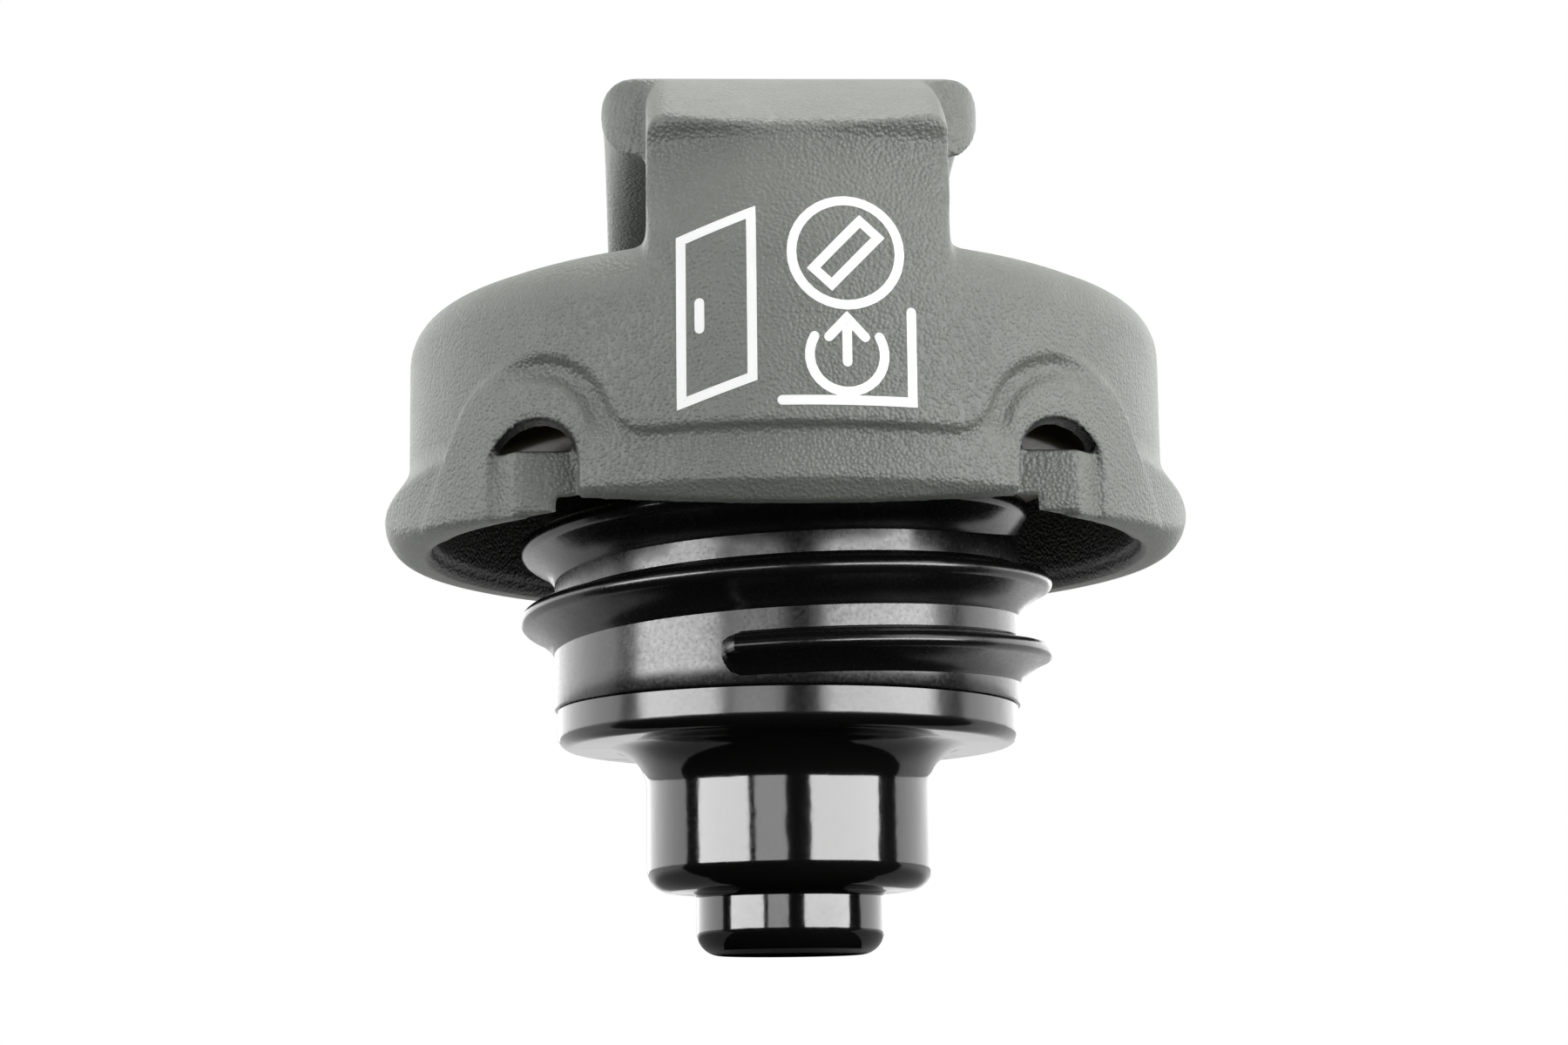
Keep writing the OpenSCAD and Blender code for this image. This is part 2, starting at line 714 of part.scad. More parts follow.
// A slot is a shallow pocket with an oblique flank
module slot_pocket(side) {
  flank_x = slot_x + slot_r * 0.4;
  intersection() {
    from_front(-5) slot_arch(side);
    prism(rim_z - 5, slot_web_z) polygon([
      [side * (slot_x - slot_r - 1), slot_floor_y],
      [side * flank_x, slot_floor_y],
      [side * (slot_x + slot_r + 1), slot_floor_y + 4.1],
      [side * (slot_x + slot_r + 1), -big / 2],
      [side * (slot_x - slot_r - 1), -big / 2]
    ]);
  }
}

// Above its web the slot is open to the inside
module slot_window(side) {
  intersection() {
    from_front(-cover_in_r * 0.4) translate([side * slot_x, slot_z]) circle(r = slot_r);
    translate([-big / 2, -big, slot_web_z - eps]) cube([big, big, slot_r]);
  }
}

// Ribs that hold the click ring down and drive its lugs, and hooks that clip under the flange
module cover_ribs() {
  spread = lug_w / 2 + loose_gap;
  for (i = [0 : lug_count - 1]) rotate(45 + i * 360 / lug_count) for (y = [spread, -spread - rib_t])
    translate([click_in_r - 2, y, rib_z])
      cube([cover_in_r - click_in_r + 2.4, rib_t, dome_top_z - rib_z]);
}

module cover_hooks() {
  for (a = [0, 90, 180, 270]) rotate(a - hook_angle / 2) rotate_extrude(angle = hook_angle) polygon([
    [hook_reach, flange_z - loose_gap],
    [hook_reach, flange_z - loose_gap - hook_t * 0.5],
    [hook_reach + 0.8, flange_z - loose_gap - hook_t],
    [cover_in_r + 0.4, flange_z - loose_gap - hook_t - 0.6],
    [cover_in_r + 0.4, flange_z - loose_gap]
  ]);
}

// Cuts both hanger slots out of one element of the cover
module slotted() {
  difference() {
    children();
    for (side = [-1, 1]) {
      slot_pocket(side);
      slot_window(side);
    }
  }
}

// Cuts the room for the closure and the hollow of the handle out of one element of the cover
module hollowed() {
  difference() {
    children();
    rotate_extrude() polygon(dome_outline(cover_in_r, cover_wall, rim_z - 5));
    handle_core();
  }
}

// Each element is cut before they are joined
module cover_shell() {
  slotted() hollowed() rotate_extrude() polygon(dome_outline(skirt_r, 0, lip_z));
  slotted() rim_bead();
  hollowed() apron();
  hollowed() handle_form();
  for (side = [-1, 1]) slotted() hollowed() pad(side);
  slotted() lip();
}

module handle_cover() {
  color([0.42, 0.43, 0.41]) {
    cover_shell();
    intersection() {
      rotate_extrude() polygon(dome_outline(skirt_r - 1, 1, rim_z));
      cover_ribs();
    }
    cover_hooks();
  }
}

handle_cover();
torque_plate();
inner_cover();
closure_body();
neck_gasket();
valve_housing();
spring_retainer();
pressure_spring();
pressure_plate();
pressure_seal();
vacuum_valve();
vacuum_spring();
vacuum_clip();
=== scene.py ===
"""Looks of a screw-in fuel filler cap, built round its packed construction model. Lengths are in metres."""

import logging
import math
from collections.abc import Callable
from dataclasses import dataclass, field
from enum import Enum

import bmesh
import bpy
from mathutils import Matrix, Vector
from mathutils.bvhtree import BVHTree


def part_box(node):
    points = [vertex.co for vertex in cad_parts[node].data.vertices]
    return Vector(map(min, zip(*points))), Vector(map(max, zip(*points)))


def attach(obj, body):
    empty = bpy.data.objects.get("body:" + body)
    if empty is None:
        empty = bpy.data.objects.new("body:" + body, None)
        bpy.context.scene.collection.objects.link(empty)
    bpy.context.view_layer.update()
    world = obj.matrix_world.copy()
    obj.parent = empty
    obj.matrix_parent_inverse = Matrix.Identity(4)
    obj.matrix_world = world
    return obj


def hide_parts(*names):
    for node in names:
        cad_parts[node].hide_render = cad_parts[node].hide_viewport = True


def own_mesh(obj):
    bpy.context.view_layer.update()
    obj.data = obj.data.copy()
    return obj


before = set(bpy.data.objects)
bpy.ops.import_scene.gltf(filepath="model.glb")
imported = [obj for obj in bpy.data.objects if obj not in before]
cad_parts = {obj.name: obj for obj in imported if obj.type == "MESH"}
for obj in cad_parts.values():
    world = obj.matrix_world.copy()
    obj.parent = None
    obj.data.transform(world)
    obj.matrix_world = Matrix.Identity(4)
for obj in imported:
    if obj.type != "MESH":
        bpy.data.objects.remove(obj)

MM = 0.001
LIFT = 2.15  # height in the frame at which the lathed sections and the thread have their zero, in millimetres
MERGE = 0.001 * MM  # corners nearer than this are one
WHITE = (1.0, 1.0, 1.0, 1.0)
log = logging.getLogger("fuel_cap")

Colour = tuple[float, float, float]
Point2 = tuple[float, float]
Piece = bpy.types.Object
Material = bpy.types.Material
Socket = bpy.types.NodeSocket


class Body(Enum):
    """Bodies of the frame that pieces ride on."""

    CLOSURE = "closure"
    COVER = "cover"
    PRESSURE = "pressure_valve"
    VACUUM = "vacuum_valve"


def srgb(*steps: float) -> Colour:
    """Turns a colour written in 0 to 255 steps into linear light."""
    shares = [v / 255 for v in steps]
    return tuple(v / 12.92 if v <= 0.04045 else ((v + 0.055) / 1.055) ** 2.4 for v in shares)


class NodeBench:
    """Lays out the nodes of one material, or of the world."""

    def __init__(self, name: str, world: bool = False) -> None:
        """Makes an empty material or world with an output node.

        Args:
            name: Its name.
            world: Whether it is a world.
        """
        self.owner = (bpy.data.worlds if world else bpy.data.materials).new(name)
        self.owner.use_nodes = True
        self.tree = self.owner.node_tree
        self.tree.nodes.clear()
        self.output = self.add("ShaderNodeOutputWorld" if world else "ShaderNodeOutputMaterial")
        self.coords = self.add("ShaderNodeTexCoord")

    def add(self, kind: str, **values: object) -> bpy.types.Node:
        """Adds a node and sets its sockets or properties.

        Args:
            kind: Type of the node.
            values: Property or socket names, with spaces as underscores, and their values or sources.

        Returns:
            The node.
        """
        node = self.tree.nodes.new(kind)
        for key, value in values.items():
            if hasattr(node, key) and key.islower():
                setattr(node, key, value)
            elif isinstance(value, Socket):
                self.link(value, node.inputs[key.replace("_", " ")])
            else:
                node.inputs[key.replace("_", " ")].default_value = value
        return node

    def link(self, source: Socket, target: Socket) -> None:
        """Joins two sockets."""
        self.tree.links.new(source, target)

    def place(self) -> Socket:
        """Returns the socket of the Object coordinates."""
        return self.coords.outputs["Object"]

    def axis(self, name: str) -> Socket:
        """Returns one of the Object coordinates, X, Y or Z."""
        return self.add("ShaderNodeSeparateXYZ", Vector=self.place()).outputs[name]

    def math(self, operation: str, a: object, b: object = 0.0) -> Socket:
        """Adds a Math node.

        Args:
            operation: What it does.
            a: First value or socket.
            b: Second value or socket.

        Returns:
            The result's socket.
        """
        node = self.add("ShaderNodeMath", operation=operation)
        for socket, value in zip(node.inputs, (a, b)):
            if isinstance(value, (int, float)):
                socket.default_value = value
            else:
                self.link(value, socket)
        return node.outputs[0]

    def product(self, *shares: Socket) -> Socket:
        """Multiplies some values."""
        result = shares[0]
        for share in shares[1:]:
            result = self.math("MULTIPLY", result, share)
        return result

    def length(self, a: Socket, b: Socket) -> Socket:
        """Returns the length of a step of a across and b up."""
        return self.math("SQRT", self.math("ADD", self.product(a, a), self.product(b, b)))

    def noise(self, scale: float, detail: float) -> Socket:
        """Adds a noise on the Object coordinates.

        Args:
            scale: Features in a metre.
            detail: Number of octaves.

        Returns:
            The noise's value.
        """
        node = self.add("ShaderNodeTexNoise", Vector=self.place(), Scale=scale, Detail=detail, Roughness=0.5)
        return node.outputs["Fac"]

    def cells(self, scale: float) -> Socket:
        """Returns the distance to the nearest middle of a pattern with so many cells in a metre."""
        node = self.add("ShaderNodeTexVoronoi", Vector=self.place(), Scale=scale, Randomness=1.0)
        return node.outputs["Distance"]

    def span(self, value: Socket, low: float, high: float, to_low: float, to_high: float) -> Socket:
        """Stretches a value from one range to another, clamped.

        Args:
            value: The socket that is read.
            low: Lower end of the range read.
            high: Upper end of the range read.
            to_low: Result at the lower end.
            to_high: Result at the upper end.

        Returns:
            The result's socket.
        """
        ends = {"From_Min": low, "From_Max": high, "To_Min": to_low, "To_Max": to_high}
        return self.add("ShaderNodeMapRange", Value=value, **ends).outputs["Result"]

    def rise(self, value: Socket, low: float, high: float) -> Socket:
        """Returns 0 below a range of the value, 1 above it, and a ramp between."""
        return self.span(value, low, high, 0.0, 1.0)

    def fall(self, value: Socket, low: float, high: float) -> Socket:
        """Returns 1 below a range of the value, 0 above it, and a ramp between."""
        return self.span(value, low, high, 1.0, 0.0)

    def mix(self, factor: object, a: object, b: object) -> Socket:
        """Mixes two colours.

        Args:
            factor: Share of the second colour, a number or a socket.
            a: First colour or its socket.
            b: Second colour or its socket.

        Returns:
            The mixed colour's socket.
        """
        node = self.add("ShaderNodeMix", data_type="RGBA")
        for socket, value in ((node.inputs["Factor"], factor), (node.inputs["A"], a), (node.inputs["B"], b)):
            if isinstance(value, Socket):
                self.link(value, socket)
            else:
                socket.default_value = value if isinstance(value, float) else (*value, 1.0)
        return node.outputs["Result"]

    def bump(self, height: Socket, depth: float) -> Socket:
        """Returns the normal of a height from 0 to 1, which is so deep in metres."""
        return self.add("ShaderNodeBump", Height=height, Strength=1.0, Distance=depth).outputs["Normal"]

    def matt(self, level: float) -> Socket:
        """Adds a matt grey surface."""
        return self.add("ShaderNodeBsdfDiffuse", Color=(level, level, level, 1.0)).outputs[0]

    def looked_at(self) -> Socket:
        """Returns 1 to the eye, in gloss and through glass, and 0 for the light."""
        path = self.add("ShaderNodeLightPath").outputs
        seen = self.math("MAXIMUM", path["Is Camera Ray"], path["Is Glossy Ray"])
        return self.math("MAXIMUM", seen, path["Is Transmission Ray"])

    def blend(self, factor: Socket, a: Socket, b: Socket) -> Socket:
        """Mixes two surfaces.

        Args:
            factor: Share of the second surface.
            a: First surface.
            b: Second surface.

        Returns:
            The mixed surface.
        """
        node = self.add("ShaderNodeMixShader")
        for socket, source in zip(node.inputs, (factor, a, b)):
            self.link(source, socket)
        return node.outputs[0]

    def surface(self, **values: object) -> Material:
        """Finishes a material with one Principled surface, whose values are given as to add()."""
        return self.finish(self.add("ShaderNodeBsdfPrincipled", **values).outputs["BSDF"])

    def finish(self, surface: Socket) -> bpy.types.ID:
        """Joins the surface to the output and returns the material or world."""
        self.link(surface, self.output.inputs["Surface"])
        return self.owner


def select_only(obj: Piece) -> None:
    """Deselects everything, then selects and activates one object."""
    bpy.ops.object.select_all(action="DESELECT")
    obj.select_set(True)
    bpy.context.view_layer.objects.active = obj


def apply_modifier(obj: Piece, kind: str, **values: object) -> None:
    """Adds a modifier to an object and applies it.

    Args:
        obj: The object.
        kind: Type of the modifier.
        values: Its properties.
    """
    select_only(obj)
    modifier = obj.modifiers.new(kind.lower(), kind)
    for key, value in values.items():
        setattr(modifier, key, value)
    bpy.ops.object.modifier_apply(modifier=modifier.name)


def smooth(obj: Piece, angle: float) -> None:
    """Shades an object smooth, with edges sharp above an angle in degrees."""
    select_only(obj)
    bpy.ops.object.shade_smooth_by_angle(angle=math.radians(angle))


def arc(cx: float, cy: float, r: float, start: float, end: float, steps: int) -> list[Point2]:
    """Points along an arc.

    Args:
        cx: Middle, first coordinate.
        cy: Middle, second coordinate.
        r: Radius.
        start: First angle in degrees.
        end: Last angle in degrees.
        steps: Number of steps.

    Returns:
        The points, both ends included.
    """
    angles = [math.radians(start + (end - start) * i / steps) for i in range(steps + 1)]
    return [(cx + r * math.cos(a), cy + r * math.sin(a)) for a in angles]


def lathe(name: str, section: list[Point2], steps: int) -> Piece:
    """Turns a closed section about the axis.

    Args:
        name: Name of the object.
        section: Radius and height of each corner, in millimetres.
        steps: Steps in the full turn.

    Returns:
        The turned object.
    """
    bpy.ops.object.select_all(action="DESELECT")
    bpy.ops.mesh.primitive_circle_add(vertices=len(section), radius=MM, fill_type="NOTHING")
    obj = bpy.context.active_object
    obj.name = obj.data.name = name
    for vertex, (r, z) in zip(obj.data.vertices, section):
        vertex.co = (r * MM, 0.0, (z + LIFT) * MM)
    bpy.ops.object.mode_set(mode="EDIT")
    bpy.ops.mesh.select_all(action="SELECT")
    bpy.ops.mesh.spin(steps=steps, angle=math.tau, center=(0, 0, 0), axis=(0, 0, 1), dupli=False)
    bpy.ops.mesh.select_all(action="SELECT")
    bpy.ops.mesh.remove_doubles(threshold=2 * MERGE)
    bpy.ops.mesh.normals_make_consistent(inside=False)
    bpy.ops.object.mode_set(mode="OBJECT")
    return obj


def shades(colour: Colour, dark: float, light: float) -> tuple[Colour, Colour]:
    """Returns a darker and a lighter shade of a colour, none of it above 1."""
    return tuple(min(dark * c, 1.0) for c in colour), tuple(min(light * c, 1.0) for c in colour)


@dataclass(frozen=True)
class MouldedPlastic:
    """Grey cover plastic with a leather grain, with painted shade on its inner wall and in the hanger slots.

    Args:
        colour: Base colour.
        grain_cells: Grain cells in a metre.
        grain_depth: Depth of the grain.
        rough: Roughness.
        inside: Colour of the painted shade in the unlit places.
        inside_top: Heights between which the painted shade of the inner wall ends.
        slot_x: Distance of the slots' middles from the cap's middle plane.
        slot_z: Height of the slots' middles.
        slot_reach: Distances from a slot's middle between which its painted shade ends.
        slot_floor: Heights between which its painted shade starts.
        slot_front: Depths behind the slots' mouths between which it starts.
        slot_back: Depths between which it ends.
    """

    colour: Colour = srgb(124, 128, 121)
    grain_cells: float = 2900.0
    grain_depth: float = 0.00008
    rough: float = 0.5
    inside: Colour = (0.025, 0.027, 0.024)
    inside_top: Point2 = (0.030, 0.036)
    slot_x: float = 0.0224
    slot_z: float = 0.01905
    slot_reach: Point2 = (0.0041, 0.0043)
    slot_floor: Point2 = (0.0205, 0.02065)
    slot_front: Point2 = (-0.0305, -0.0285)
    slot_back: Point2 = (-0.022, -0.02)

    def inner_wall_shade(self, b: NodeBench) -> Socket:
        """Finds the walls that face the axis, which get painted shade.

        Args:
            b: Bench of the material.

        Returns:
            1 on those walls and 0 elsewhere.
        """
        flat = b.add("ShaderNodeVectorMath", operation="MULTIPLY")
        unit = b.add("ShaderNodeVectorMath", operation="NORMALIZE")
        facing = b.add("ShaderNodeVectorMath", operation="DOT_PRODUCT")
        b.link(b.place(), flat.inputs[0])
        flat.inputs[1].default_value = (1.0, 1.0, 0.0)
        b.link(flat.outputs[0], unit.inputs[0])
        b.link(unit.outputs[0], facing.inputs[0])
        b.link(b.coords.outputs["Normal"], facing.inputs[1])
        return b.product(b.fall(facing.outputs["Value"], -0.55, -0.25), b.fall(b.axis("Z"), *self.inside_top))

    def slot_shade(self, b: NodeBench) -> Socket:
        """Finds the walls of the hanger slots, which get painted shade.

        Args:
            b: Bench of the material.

        Returns:
            1 on those walls and 0 elsewhere.
        """
        across = b.math("SUBTRACT", b.math("ABSOLUTE", b.axis("X")), self.slot_x)
        above = b.math("SUBTRACT", b.axis("Z"), self.slot_z)
        return b.product(
            b.fall(b.length(across, above), *self.slot_reach),
            b.rise(b.axis("Z"), *self.slot_floor),
            b.rise(b.axis("Y"), *self.slot_front),
            b.fall(b.axis("Y"), *self.slot_back),
        )

    def make(self, name: str) -> Material:
        """Builds the material.

        Args:
            name: Name of the material.

        Returns:
            The material.
        """
        b = NodeBench(name)
        cell = b.cells(self.grain_cells)
        fine = b.noise(self.grain_cells * 2.2, 2.0)
        cloud = b.noise(160.0, 3.0)
        height = b.math("ADD", b.fall(cell, 0.1, 0.75), b.math("MULTIPLY", fine, 0.35))
        tint = b.mix(b.rise(cloud, 0.35, 0.65), *shades(self.colour, 0.93, 1.05))
        # Painted shade: the inner wall and the slot floors take the dark unlit colour, not the plastic's own
        # colour.
        dark = b.math("MAXIMUM", self.inner_wall_shade(b), self.slot_shade(b))
        colour = b.mix(dark, tint, self.inside)
        return b.surface(Base_Color=colour, Roughness=self.rough, Normal=b.bump(height, self.grain_depth))


@dataclass(frozen=True)
class GlossPlastic:
    """Black plastic with a gloss of its own.

    Args:
        colour: Base colour.
        rough: Roughness.
        waves: Depth of the slow unevenness that bends reflections.
        satin_above: Height in millimetres from which the surface is less polished, or None.
        satin: Roughness added up there.
    """

    colour: Colour = (0.006, 0.0065, 0.006)
    rough: float = 0.2
    waves: float = 0.00004
    satin_above: float | None = None
    satin: float = 0.1

    def make(self, name: str) -> Material:
        """Builds the material.

        Args:
            name: Name of the material.

        Returns:
            The material.
        """
        b = NodeBench(name)
        slow = b.noise(260.0, 2.0)
        fine = b.noise(3000.0, 3.0)
        rough = b.span(fine, 0.3, 0.7, self.rough * 0.8, self.rough * 1.25)
        if self.satin_above is not None:
            edge, blur = self.satin_above * MM, 0.3 * MM
            rough = b.math("ADD", rough, b.span(b.axis("Z"), edge - blur, edge + blur, 0.0, self.satin))
        return b.surface(Base_Color=(*self.colour, 1.0), Roughness=rough, Normal=b.bump(slow, self.waves))


@dataclass(frozen=True)
class PlainFinish:
    """A finish for small and inner pieces: a colour with a fine cloud and a light texture.

    Args:
        colour: Base colour.
        rough: Roughness.
        metal: Share of metal.
        depth: Depth of the texture.
        cells: Noise features in a metre.
        glow: Strength of its own light, which keeps a print white.
    """

    colour: Colour
    rough: float = 0.45
    metal: float = 0.0
    depth: float = 0.00002
    cells: float = 1500.0
    glow: float = 0.0

    def make(self, name: str) -> Material:
        """Builds the material.

        Args:
            name: Name of the material.

        Returns:
            The material.
        """
        b = NodeBench(name)
        fine = b.noise(self.cells, 3.0)
        cloud = b.noise(self.cells * 0.1, 2.0)
        return b.surface(
            Base_Color=b.mix(cloud, *shades(self.colour, 0.85, 1.12)),
            Roughness=b.span(fine, 0.3, 0.7, self.rough * 0.85, self.rough * 1.2),
            Metallic=self.metal,
            Normal=b.bump(fine, self.depth),
            Emission_Color=WHITE,
            Emission_Strength=self.glow,
        )


STEEL = PlainFinish((0.55, 0.56, 0.58), rough=0.25, metal=1.0, depth=0.00001, cells=4000.0)
NYLON = PlainFinish((0.62, 0.60, 0.53), rough=0.42)
AMBER_NYLON = PlainFinish((0.45, 0.27, 0.07), rough=0.4)
BLACK_NYLON = PlainFinish((0.012, 0.012, 0.013))
BLACK_RUBBER = PlainFinish((0.015, 0.015, 0.015), rough=0.6)
BROWN_RUBBER = PlainFinish((0.05, 0.042, 0.014), rough=0.35)
# The print ink glows a little: painted light that keeps the print white.
INK = PlainFinish((0.93, 0.94, 0.93), rough=0.5, depth=0.00001, cells=2500.0, glow=0.3)


def dress(node: str, material: Material) -> None:
    """Gives a construction node's slots one material."""
    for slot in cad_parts[node].material_slots:
        slot.material = material


@dataclass
class Studio:
    """Camera, pale floor and soft light.

    Args:
        distance: Distance from the camera to its target.
        elevation: How far the camera looks up, in degrees.
        turn: How far the camera stands to the left, in degrees.
        roll: Roll of the camera, in degrees.
        target: Point at the middle of the picture.
        lens: Focal length in millimetres.
        fill: Level of the light from all round.
        middle_z: Height of the point that the lamps face.
        card_r: Radius of the dark card.
        card_back: How far behind the cap's axis the card ends.
        card_tip: Corner of the lying card's wedge near the cap, across and along.
        card_wide: Distance across at which the lying card is level with the axis.
        card_black: Grey level of the card.
        floor_pale: Grey level of the floor to look at.
        floor_dim: Grey level of the floor in the light that it returns.
    """

    distance: float = 0.28533
    elevation: float = 9.6
    turn: float = 2.45
    roll: float = -0.68
    target: tuple[float, float, float] = (-0.00015, 0.0, 0.01868)
    lens: float = 70.55
    fill: float = 0.22
    middle_z: float = 0.015
    card_r: float = 1.7
    card_back: float = 0.1
    card_tip: Point2 = (0.011, -0.009)
    card_wide: float = 0.06
    card_black: float = 0.01
    floor_pale: float = 0.86
    floor_dim: float = 0.25
    floor_z: float = field(init=False)

    def __post_init__(self) -> None:
        """Reads floor_z, the floor's height, from the frame."""
        self.floor_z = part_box("valve_housing")[0][2]

    def camera(self) -> None:
        """Makes the camera."""
        data = bpy.data.cameras.new("camera")
        cam = bpy.data.objects.new("camera", data)
        bpy.context.collection.objects.link(cam)
        e, t = math.radians(self.elevation), math.radians(self.turn)
        look = Vector((math.sin(t) * math.cos(e), math.cos(t) * math.cos(e), math.sin(e)))
        cam.location = Vector(self.target) - look * self.distance
        cam.rotation_mode = "QUATERNION"
        roll = Matrix.Rotation(math.radians(self.roll), 3, "Z").to_quaternion()
        cam.rotation_quaternion = look.to_track_quat("-Z", "Y") @ roll
        data.lens = self.lens
        data.sensor_width = 36.0
        data.clip_start = 0.01
        bpy.context.scene.camera = cam

    def background(self) -> None:
        """Makes the world: white for the camera and in reflections, a plain level for the light."""
        b = NodeBench("studio", world=True)
        light = b.add("ShaderNodeBackground", Color=WHITE, Strength=self.fill).outputs[0]
        white = b.add("ShaderNodeBackground", Color=WHITE, Strength=1.0).outputs[0]
        bpy.context.scene.world = b.finish(b.blend(b.looked_at(), light, white))

    def floor(self) -> None:
        """Makes the floor: pale to look at, dim in the light that it returns, and clear from below."""
        bpy.ops.object.select_all(action="DESELECT")
        bpy.ops.mesh.primitive_plane_add(size=6.0, location=(0.0, 0.0, self.floor_z))
        floor = bpy.context.active_object
        floor.name = "floor"
        b = NodeBench("pale_floor")
        back = b.add("ShaderNodeNewGeometry").outputs["Backfacing"]
        clear = b.add("ShaderNodeBsdfTransparent").outputs[0]
        top = b.blend(b.looked_at(), b.matt(self.floor_dim), b.matt(self.floor_pale))
        floor.data.materials.append(b.finish(b.blend(back, top, clear)))

    def card_edge(self, across: float) -> float:
        """Finds the far edge of the lying card: a wedge, then a wide sheet.

        Args:
            across: Distance from the middle plane.

        Returns:
            How far behind the cap's axis the edge is.
        """
        (tip, along), wide = self.card_tip, self.card_wide
        near = min(across, tip)
        mid = min(max(across - tip, 0.0), wide - tip)
        far = max(across - wide, 0.0)
        return along * near / tip - along * mid / (wide - tip) + self.card_back * far / (self.card_r - wide)

    def dark_card(self) -> None:
        """Stands a curved black card behind the lamps and lays one in front; only gloss sees them."""
        r = self.card_r
        bpy.ops.object.select_all(action="DESELECT")
        bpy.ops.mesh.primitive_cylinder_add(
            vertices=96, radius=r, depth=1.9, end_fill_type="NOTHING", location=(0, 0, 0.9)
        )
        card = bpy.context.active_object
        bpy.ops.mesh.primitive_circle_add(
            vertices=96, radius=r, fill_type="NGON", location=(0.0, 0.0, self.floor_z + 0.4 * MM)
        )
        for vertex in bpy.context.active_object.data.vertices:
            if vertex.co.y > 0:
                across = abs(vertex.co.x / r) ** 3 * r
                vertex.co.x = math.copysign(across, vertex.co.x)
                vertex.co.y = self.card_edge(across)
        card.select_set(True)
        bpy.context.view_layer.objects.active = card
        bpy.ops.object.join()
        card.name = card.data.name = "dark_card"
        bpy.ops.object.mode_set(mode="EDIT")
        bpy.ops.mesh.select_all(action="SELECT")
        bpy.ops.mesh.bisect(plane_co=(0.0, self.card_back, 0.0), plane_no=(0, 1, 0), clear_outer=True)
        bpy.ops.object.mode_set(mode="OBJECT")
        b = NodeBench("black_card")
        card.data.materials.append(b.finish(b.matt(self.card_black)))
        card.visible_camera = card.visible_diffuse = card.visible_shadow = card.visible_transmission = False

    def lamp(
        self, name: str, azimuth: float, height: float, reach: float, size: Point2, power: float
    ) -> bpy.types.Object:
        """Makes a soft box that faces the cap.

        Args:
            name: Name of the lamp.
            azimuth: Where it stands, in degrees to the right of the front.
            height: Height of its middle above what it faces.
            reach: Distance from the axis.
            size: Width and height.
            power: Power in watts.

        Returns:
            The lamp.
        """
        data = bpy.data.lights.new(name, "AREA")
        data.shape = "RECTANGLE"
        data.size, data.size_y = size
        data.energy = power
        lamp = bpy.data.objects.new(name, data)
        bpy.context.collection.objects.link(lamp)
        a = math.radians(azimuth)
        lamp.location = (reach * math.sin(a), -reach * math.cos(a), self.middle_z + height)
        lamp.rotation_mode = "QUATERNION"
        lamp.rotation_quaternion = (Vector((0, 0, self.middle_z)) - lamp.location).to_track_quat("-Z", "Y")
        return lamp

    def build(self) -> None:
        """Builds the studio."""
        self.camera()
        self.background()
        self.floor()
        self.dark_card()
        for name, azimuth, size, power in (
            ("window_left", -56.9, (0.9, 0.26), 11.3),
            ("window_middle", -17.0, (0.49, 0.26), 2.3),
            ("window_right", 44.2, (1.24, 0.26), 15.5),
        ):
            self.lamp(name, azimuth, 0.085, 1.1, size, power).visible_diffuse = False
        for side, hand in (("left", -1.0), ("right", 1.0)):
            self.lamp(f"rim_{side}", 130.0 * hand, 0.2, 1.2, (1.9, 0.9), 11.0).visible_diffuse = False
            self.lamp(f"wall_{side}", 142.0 * hand, 0.25, 1.3, (1.5, 0.9), 3.0).visible_glossy = False
        self.lamp("side_left", -80.0, 0.5, 1.0, (0.8, 0.8), 2.8)
        self.lamp("side_right", 66.0, 0.5, 1.0, (0.8, 0.8), 6.5)
        self.lamp("front_soft", 24.0, 0.0, 1.1, (0.8, 0.5), 4.6).visible_glossy = False
        self.lamp("top_light", 0.0, 1.2, 0.05, (0.8, 0.8), 12.0)
        log.info("studio built")


def finish_piece(obj: Piece, body: Body, material: Material, angle: float) -> Piece:
    """Shades a new piece, gives it its material, and rides it on its body.

    Args:
        obj: The piece.
        body: Body that carries it.
        material: Its material.
        angle: Angle above which its edges are sharp, in degrees.

    Returns:
        The piece.
    """
    smooth(obj, angle)
    obj.data.materials.clear()
    obj.data.materials.append(material)
    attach(obj, body.value)
    log.info("piece %s: %d faces", obj.name, len(obj.data.polygons))
    return obj


def step(t: float) -> float:
    """Smooth step from 0 to 1, clamped."""
    t = min(max(t, 0.0), 1.0)
    return t * t * (3 - 2 * t)


def fade(value: float, start: float, run: float) -> float:
    """Smooth step from 0 at the start to 1 a run further; a negative run goes down."""
    return step((value - start) / run)


def copy_node(node: str, name: str) -> Piece:
    """Copies a node of the construction as one closed skin.

    Args:
        node: Name of the node.
        name: Name of the copy.

    Returns:
        The copy.
    """
    obj = bpy.data.objects.new(name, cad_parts[node].data.copy())
    bpy.context.collection.objects.link(obj)
    obj.data.name = name
    select_only(obj)
    bpy.ops.object.mode_set(mode="EDIT")
    bpy.ops.mesh.select_all(action="SELECT")
    bpy.ops.mesh.remove_doubles(threshold=MERGE)
    bpy.ops.object.mode_set(mode="OBJECT")
    return obj


